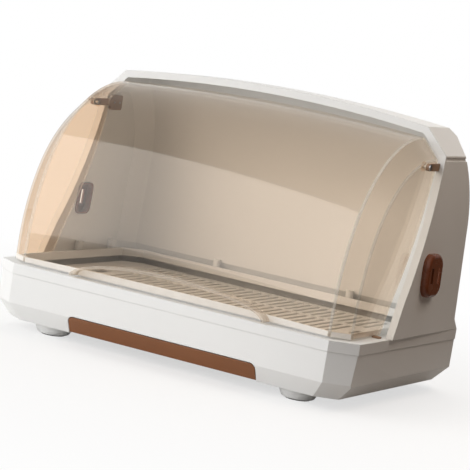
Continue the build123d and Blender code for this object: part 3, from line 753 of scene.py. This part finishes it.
@dataclass
class DrainRack:
    """Slotted rack plate with a skirt: rows of long drain slots and two finger holes."""

    top: float = 0.066
    wall: float = 0.003
    skirt: float = 0.006
    front: float = -0.1286
    rear: float = 0.1225
    half: float = 0.2056
    corner_front: Point = (0.018, 0.014)
    corner_rear: float = 0.019
    border: float = 0.013
    side_border: float = 0.043
    slot_width: float = 0.005
    pitch: float = 0.011
    rows: int = 3
    rib: float = 0.009
    grip: Point = (0.034, 0.015)
    grip_x: float = 0.168
    grip_clear: float = 0.008
    posts: tuple[Point, ...] = ((0.185, -0.105), (0.193, 0.0), (0.185, 0.105), (0.062, -0.118), (0.062, 0.116))
    post_radius: float = 0.0045
    edge: float = 0.0004

    def outline(self, inset: float) -> list[Point]:
        """Trace the plate's outline.

        Args:
            inset: how far it is moved inwards.

        Returns:
            Points (x, y), anticlockwise from the front right.
        """
        x, y0, y1 = self.half - inset, self.front + inset, self.rear - inset
        run_x, run_y = self.corner_front
        right = [(x - run_x, y0), (x, y0 + run_y), (x, y1 - self.corner_rear), (x - self.corner_rear, y1)]
        return right + [(-px, py) for px, py in reversed(right)]

    def blank(self) -> bpy.types.Object:
        """Build the plate and its skirt before the slots are cut.

        Returns:
            The plate.
        """
        low, shelf = self.top - self.skirt, self.top - self.wall
        rings = [(0.0, low), (0.0, self.top), (self.wall, low), (self.wall, shelf)]
        shape = bmesh.new()
        loops = [[shape.verts.new((x, y, z)) for x, y in self.outline(inset)] for inset, z in rings]
        outer_low, outer_top, inner_low, inner_top = loops
        count = len(outer_low)
        for i in range(count):
            j = (i + 1) % count
            shape.faces.new((outer_low[i], outer_low[j], outer_top[j], outer_top[i]))
            shape.faces.new((inner_low[j], inner_low[i], inner_top[i], inner_top[j]))
            shape.faces.new((outer_low[j], outer_low[i], inner_low[i], inner_low[j]))
        shape.faces.new(outer_top)
        shape.faces.new(list(reversed(inner_top)))
        bmesh.ops.recalc_face_normals(shape, faces=shape.faces)
        return object_from("slotted_drain_rack", shape)

    def stadium(self, recipe: Recipe, width: object, length: object) -> bpy.types.NodeSocket:
        """Add a cutter with round ends, long in Y.

        Args:
            recipe: tree that takes it.
            width: its width, a socket or a number.
            length: its length, a socket or a number.

        Returns:
            Its geometry socket.
        """
        disc = recipe.node(
            "GeometryNodeMeshCylinder",
            {"Vertices": 16, "Radius": recipe.math("DIVIDE", width, 2.0), "Depth": 4 * self.wall},
        )
        where = recipe.node("ShaderNodeSeparateXYZ", {0: recipe.node("GeometryNodeInputPosition").outputs[0]})
        spread = recipe.math("DIVIDE", recipe.math("SUBTRACT", length, width), 2.0)
        half = recipe.math("MULTIPLY", recipe.math("SIGN", where.outputs["Y"]), spread)
        move = recipe.node("ShaderNodeCombineXYZ", {"Y": half})
        return recipe.node(
            "GeometryNodeSetPosition", {"Geometry": disc.outputs["Mesh"], "Offset": move.outputs[0]}
        ).outputs[0]

    def build(self, shop: Workshop) -> None:
        """Cut the slots and put the rack in place.

        Args:
            shop: holds the finishes.
        """
        length = self.rear - self.front - 2 * self.border
        slot_length = (length - (self.rows - 1) * self.rib) / self.rows
        columns = int(2 * (self.half - self.side_border) / self.pitch)
        recipe = Recipe(
            "drain_slots",
            {
                "Slot Width": self.slot_width, "Slot Length": slot_length, "Pitch": self.pitch,
                "Row Pitch": slot_length + self.rib, "Columns": columns, "Rows": self.rows,
                "Grip Clear": self.grip_x - self.grip[1] / 2 - self.grip_clear,
                "Material": shop.materials[Slot.WHITE],
            },
        )
        start = recipe.start
        span_x = recipe.math("MULTIPLY", recipe.math("SUBTRACT", start["Columns"], 1.0), start["Pitch"])
        span_y = recipe.math("MULTIPLY", recipe.math("SUBTRACT", start["Rows"], 1.0), start["Row Pitch"])
        grid = recipe.node(
            "GeometryNodeMeshGrid",
            {"Size X": span_x, "Size Y": span_y, "Vertices X": start["Columns"], "Vertices Y": start["Rows"]},
        )
        where = recipe.node("ShaderNodeSeparateXYZ", {0: recipe.node("GeometryNodeInputPosition").outputs[0]})
        outside = recipe.math("GREATER_THAN", recipe.math("ABSOLUTE", where.outputs["X"]), start["Grip Clear"])
        middle = recipe.math("LESS_THAN", recipe.math("ABSOLUTE", where.outputs["Y"]), MM)
        kept = recipe.node(
            "GeometryNodeDeleteGeometry",
            {"Geometry": grid.outputs["Mesh"], "Selection": recipe.math("MULTIPLY", outside, middle)},
            domain="POINT",
        )
        slots = recipe.node(
            "GeometryNodeInstanceOnPoints",
            {"Points": kept.outputs[0], "Instance": self.stadium(recipe, start["Slot Width"], start["Slot Length"])},
        )
        grips = recipe.node(
            "GeometryNodeMeshLine",
            {"Count": 2, "Start Location": (-self.grip_x, 0, 0), "Offset": (2 * self.grip_x, 0, 0)},
        )
        holes = recipe.node(
            "GeometryNodeInstanceOnPoints",
            {"Points": grips.outputs["Mesh"], "Instance": self.stadium(recipe, self.grip[1], self.grip[0])},
        )
        joined = recipe.node("GeometryNodeJoinGeometry", {0: slots.outputs[0]})
        recipe.tree.links.new(holes.outputs[0], joined.inputs[0])
        real = recipe.node("GeometryNodeRealizeInstances", {"Geometry": joined.outputs[0]})
        centre = (0.0, (self.front + self.rear) / 2, self.top - self.wall / 2)
        placed = recipe.node("GeometryNodeTransform", {"Geometry": real.outputs[0], "Translation": centre})
        cut = recipe.node(
            "GeometryNodeMeshBoolean", {"Mesh 1": start["Geometry"], "Mesh 2": placed.outputs[0]},
            operation="DIFFERENCE", solver="EXACT",
        )
        recipe.finish(cut.outputs["Mesh"])
        piece = recipe.bake(self.blank())
        shape = bmesh.new()
        shape.from_mesh(piece.data)
        high, low = self.top - self.wall / 2, self.top - self.skirt
        for x, y in self.posts:
            for sign in (-1, 1):
                at = Matrix.Translation((sign * x, y, (high + low) / 2))
                bmesh.ops.create_cone(
                    shape, cap_ends=True, segments=24, radius1=self.post_radius, radius2=self.post_radius,
                    depth=high - low, matrix=at,
                )
        shape.to_mesh(piece.data)
        shape.free()
        soften(piece, self.edge)
        shop.install(piece, Body.RACK, Slot.WHITE, "drain_rack")


@dataclass
class ScrewSet:
    """Pan-head screws with a cross recess, one for each point."""

    name: str
    node: str
    places: list[tuple[Vector, Vector]]
    head_radius: float = 0.003
    head_height: float = 0.0018
    shank_radius: float = 0.0015
    shank_length: float = 0.009
    recess: float = 0.0007
    head_taper: float = 0.8
    recess_reach: float = 1.1
    recess_depth: float = 0.6
    edge: float = 0.0002

    def build(self, shop: Workshop) -> None:
        """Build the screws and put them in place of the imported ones.

        Args:
            shop: holds the finishes.
        """
        points = bmesh.new()
        layer = points.verts.layers.float_vector.new("axis")
        for at, axis in self.places:
            points.verts.new(at)[layer] = axis
        recipe = Recipe(
            f"{self.name}_set",
            {
                "Head Radius": self.head_radius, "Head Height": self.head_height, "Shank Radius": self.shank_radius,
                "Shank Length": self.shank_length, "Recess": self.recess, "Material": shop.materials[Slot.STEEL],
            },
        )
        start = recipe.start
        head = recipe.node(
            "GeometryNodeMeshCone",
            {"Vertices": 24, "Radius Top": recipe.math("MULTIPLY", start["Head Radius"], self.head_taper),
             "Radius Bottom": start["Head Radius"], "Depth": start["Head Height"]},
        )
        sizes = (recipe.math("MULTIPLY", start["Head Radius"], self.recess_reach), start["Recess"])
        deep = recipe.math("MULTIPLY", start["Head Height"], self.recess_depth)
        arms = []
        for x, y in (sizes, sizes[::-1]):
            size = recipe.node("ShaderNodeCombineXYZ", {"X": x, "Y": y, "Z": deep})
            arms.append(recipe.node("GeometryNodeMeshCube", {"Size": size.outputs[0]}).outputs["Mesh"])
        cross = recipe.node("GeometryNodeJoinGeometry", {0: arms[0]})
        recipe.tree.links.new(arms[1], cross.inputs[0])
        up = recipe.node("ShaderNodeCombineXYZ", {"Z": start["Head Height"]})
        raised = recipe.node("GeometryNodeTransform", {"Geometry": cross.outputs[0], "Translation": up.outputs[0]})
        cut = recipe.node(
            "GeometryNodeMeshBoolean", {"Mesh 1": head.outputs["Mesh"], "Mesh 2": raised.outputs[0]},
            operation="DIFFERENCE", solver="EXACT",
        )
        shank = recipe.node(
            "GeometryNodeMeshCylinder",
            {"Vertices": 16, "Radius": start["Shank Radius"], "Depth": start["Shank Length"]},
        )
        drop = recipe.math("DIVIDE", start["Shank Length"], -2.0)
        down = recipe.node("ShaderNodeCombineXYZ", {"Z": drop})
        lowered = recipe.node(
            "GeometryNodeTransform", {"Geometry": shank.outputs["Mesh"], "Translation": down.outputs[0]}
        )
        screw = recipe.node("GeometryNodeJoinGeometry", {0: cut.outputs["Mesh"]})
        recipe.tree.links.new(lowered.outputs[0], screw.inputs[0])
        axis = recipe.node("GeometryNodeInputNamedAttribute", {"Name": "axis"}, data_type="FLOAT_VECTOR")
        turn = recipe.node(
            "FunctionNodeAlignRotationToVector", {"Vector": axis.outputs["Attribute"]}, axis="Z"
        )
        dots = recipe.node("GeometryNodeMeshToPoints", {"Mesh": start["Geometry"]})
        placed = recipe.node(
            "GeometryNodeInstanceOnPoints",
            {"Points": dots.outputs[0], "Instance": screw.outputs[0], "Rotation": turn.outputs[0]},
        )
        recipe.finish(placed.outputs[0])
        piece = soften(recipe.bake(object_from(self.name, points)), self.edge)
        shop.install(piece, Body.HOUSING, Slot.STEEL, self.node)


@dataclass
class Fasteners:
    """The four kinds of screws and where they sit."""

    plate_z: float = 0.012
    plate_top: float = 0.0145
    flange_low: float = 0.0725
    arm_face: float = 0.21345
    hinge_z: float = 0.2595
    feet: tuple[Point, ...] = ((0.156, -0.108), (0.156, 0.108))
    plate: tuple[Point, ...] = ((0.180, -0.088), (0.188, 0.005), (0.180, 0.096))
    hood: tuple[Point, ...] = ((0.220, 0.025), (0.220, 0.100), (0.090, 0.1325))
    arm_y: tuple[float, ...] = (0.042, 0.054)
    head_half: float = 0.0009
    hinge_head_half: float = 0.0007

    def pairs(self, points: tuple[Point, ...], z: float, axis: Vector) -> list[tuple[Vector, Vector]]:
        """Return each point and its mirror image with the screw's axis, at half a head above a face at z."""
        return [(Vector((s * x, y, z)) + axis * self.head_half, axis) for x, y in points for s in (-1, 1)]

    def build(self, shop: Workshop) -> None:
        """Build the four sets.

        Args:
            shop: holds the finishes.
        """
        up, down = Vector((0, 0, 1)), Vector((0, 0, -1))
        sets = [
            ScrewSet(
                "foot_screw_set", "foot_screws", self.pairs(self.feet, self.plate_top, up), shank_length=0.0089
            ),
            ScrewSet(
                "plate_screw_set", "plate_screws", self.pairs(self.plate, self.plate_z, down), shank_length=0.0099
            ),
            ScrewSet(
                "hood_screw_set", "hood_screws", self.pairs(self.hood, self.flange_low, down), shank_length=0.0099
            ),
            ScrewSet(
                "hinge_screw_set", "hinge_screws",
                [(Vector((s * (self.arm_face - self.hinge_head_half), y, self.hinge_z)), Vector((-s, 0, 0)))
                 for y in self.arm_y for s in (-1, 1)],
                head_radius=0.0024, head_height=0.0014, shank_radius=0.0011, shank_length=0.0077, recess=0.0005,
            ),
        ]
        for each in sets:
            each.build(shop)


@dataclass(frozen=True)
class SoftLamp:
    """Square softbox that hangs at a point and looks at another."""

    name: str
    at: Triple
    aim: Triple
    size: float
    watts: float
    colour: str = "#FFFFFF"
    mirrored: bool = False

    def build(self) -> None:
        """Hang the lamp."""
        data = bpy.data.lights.new(self.name, "AREA")
        data.shape, data.size, data.energy = "SQUARE", self.size, self.watts
        data.color = linear(self.colour)[:3]
        lamp = bpy.data.objects.new(self.name, data)
        lamp.visible_glossy = self.mirrored
        lamp.location = self.at
        lamp.rotation_euler = (Vector(self.aim) - Vector(self.at)).to_track_quat("-Z", "Y").to_euler()
        bpy.context.scene.collection.objects.link(lamp)


@dataclass
class Studio:
    """Camera of the photograph, pale floor, white surroundings and soft lamps."""

    camera_at: Triple = (1.0250, -2.0130, 0.4032)
    right: Triple = (0.87014, 0.46571, 0.16115)
    above: Triple = (-0.19613, 0.02728, 0.98020)
    back: Triple = (0.45210, -0.88452, 0.11508)
    lens: float = 153.67
    sensor: float = 36.0
    floor: str = "#F4F3F1"
    bounce: str = "#5A493B"
    floor_half: float = 12.0
    shadow_white: float = 0.6
    left_light: str = "#E4E2DF"
    right_light: str = "#40362F"
    light_strength: float = 0.78
    mirror_light: str = "#F4F0EA"
    mirror_strength: float = 0.75
    lamps: tuple[SoftLamp, ...] = (
        SoftLamp("key_softbox", (-2.3, -2.8, 1.45), (0.0, 0.0, 0.15), 4.2, 128.0, mirrored=True),
        SoftLamp("top_softbox", (0.1, 1.0, 2.3), (0.0, 0.0, 0.1), 2.0, 22.0),
        SoftLamp("right_fill", (0.56, 0.04, 0.7), (0.22, 0.0, 0.2), 0.3, 1.2, "#FFEBD6"),
    )

    def camera(self) -> None:
        """Set the camera where the photograph was taken from."""
        data = bpy.data.cameras.new("camera")
        data.lens, data.sensor_width = self.lens, self.sensor
        camera = bpy.data.objects.new("camera", data)
        turn = Matrix((self.right, self.above, self.back)).transposed().to_4x4()
        camera.matrix_world = Matrix.Translation(self.camera_at) @ turn
        bpy.context.scene.collection.objects.link(camera)
        bpy.context.scene.camera = camera

    def ground(self) -> None:
        """Lay a large pale floor that fades to white away from the part."""
        shape = bmesh.new()
        bmesh.ops.create_grid(shape, x_segments=1, y_segments=1, size=self.floor_half)
        floor = object_from("floor", shape)
        material, tree = new_material("pale_floor")
        place = add(tree, "ShaderNodeTexCoord").outputs["Object"]
        far = add(tree, "ShaderNodeVectorMath", {0: place}, operation="LENGTH")
        fade = add(
            tree, "ShaderNodeMapRange",
            {"Value": far.outputs["Value"], "From Min": 0.1, "From Max": 0.8, "To Min": self.shadow_white},
        )
        path = add(tree, "ShaderNodeLightPath")
        # to the right of the part the floor gives little light back, as the dim side of a room
        side = add(tree, "ShaderNodeSeparateXYZ", {0: place})
        dim = add(tree, "ShaderNodeMapRange", {"Value": side.outputs["X"], "From Min": 0.1, "From Max": 0.4})
        back = add(
            tree, "ShaderNodeMix", {0: dim.outputs["Result"], 6: linear(self.floor), 7: linear(self.bounce)},
            data_type="RGBA",
        )
        colour = add(
            tree, "ShaderNodeMix", {0: path.outputs["Is Camera Ray"], 6: back.outputs[2], 7: linear(self.floor)},
            data_type="RGBA",
        )
        matt = add(tree, "ShaderNodeBsdfDiffuse", {"Color": colour.outputs[2]})
        white = add(tree, "ShaderNodeEmission", {"Color": (1, 1, 1, 1), "Strength": 1.0})
        seen = add(
            tree, "ShaderNodeMath", {0: fade.outputs["Result"], 1: path.outputs["Is Camera Ray"]},
            operation="MULTIPLY",
        )
        both = add(tree, "ShaderNodeMixShader", {0: seen.outputs[0], 1: matt.outputs[0], 2: white.outputs[0]})
        add(tree, "ShaderNodeOutputMaterial", {"Surface": both.outputs[0]})
        floor.data.materials.append(material)

    def world(self) -> None:
        """Show white behind the part, and light it dimly, more from the left than from the right."""
        world = bpy.data.worlds.new("studio")
        bpy.context.scene.world = world
        world.use_nodes = True
        tree = world.node_tree
        tree.nodes.clear()
        path = add(tree, "ShaderNodeLightPath")
        shown = add(
            tree, "ShaderNodeMath",
            {0: path.outputs["Is Camera Ray"], 1: path.outputs["Is Transmission Ray"]}, operation="MAXIMUM",
        )
        # the light from the right is dimmer and warmer than that from the left
        way = add(tree, "ShaderNodeSeparateXYZ", {0: add(tree, "ShaderNodeTexCoord").outputs["Generated"]})
        turn = add(tree, "ShaderNodeMapRange", {"Value": way.outputs["X"], "From Min": -0.3, "From Max": 0.6})
        tone = add(
            tree, "ShaderNodeMix",
            {0: turn.outputs["Result"], 6: linear(self.left_light), 7: linear(self.right_light)}, data_type="RGBA",
        )
        dim = add(tree, "ShaderNodeBackground", {"Color": tone.outputs[2], "Strength": self.light_strength})
        white = add(tree, "ShaderNodeBackground", {"Color": (1, 1, 1, 1), "Strength": 1.0})
        pale = add(
            tree, "ShaderNodeBackground",
            {"Color": linear(self.mirror_light), "Strength": self.mirror_strength},
        )
        # what shines sees a pale front and a dim rear
        ahead = add(tree, "ShaderNodeMapRange", {"Value": way.outputs["Y"], "From Min": 0.2, "From Max": -0.3})
        lit = add(
            tree, "ShaderNodeMath", {0: path.outputs["Is Glossy Ray"], 1: ahead.outputs["Result"]},
            operation="MULTIPLY",
        )
        shine = add(tree, "ShaderNodeMixShader", {0: lit.outputs[0], 1: dim.outputs[0], 2: pale.outputs[0]})
        both = add(tree, "ShaderNodeMixShader", {0: shown.outputs[0], 1: shine.outputs[0], 2: white.outputs[0]})
        add(tree, "ShaderNodeOutputWorld", {"Surface": both.outputs[0]})

    def build(self) -> None:
        """Build the whole studio."""
        self.camera()
        self.ground()
        self.world()
        for lamp in self.lamps:
            lamp.build()
        bpy.context.scene.view_settings.view_transform = "Standard"


def main() -> None:
    """Build the studio and every piece."""
    logging.basicConfig(level=logging.INFO, format="%(name)s %(message)s")
    Studio().build()
    shop = Workshop()
    shop.dress_nodes()
    for assembly in (ClearCover(), DrainRack(), Fasteners()):
        assembly.build(shop)
        log.info("%s is in place", type(assembly).__name__)
    bpy.context.view_layer.update()


if __name__ == "__main__":
    main()
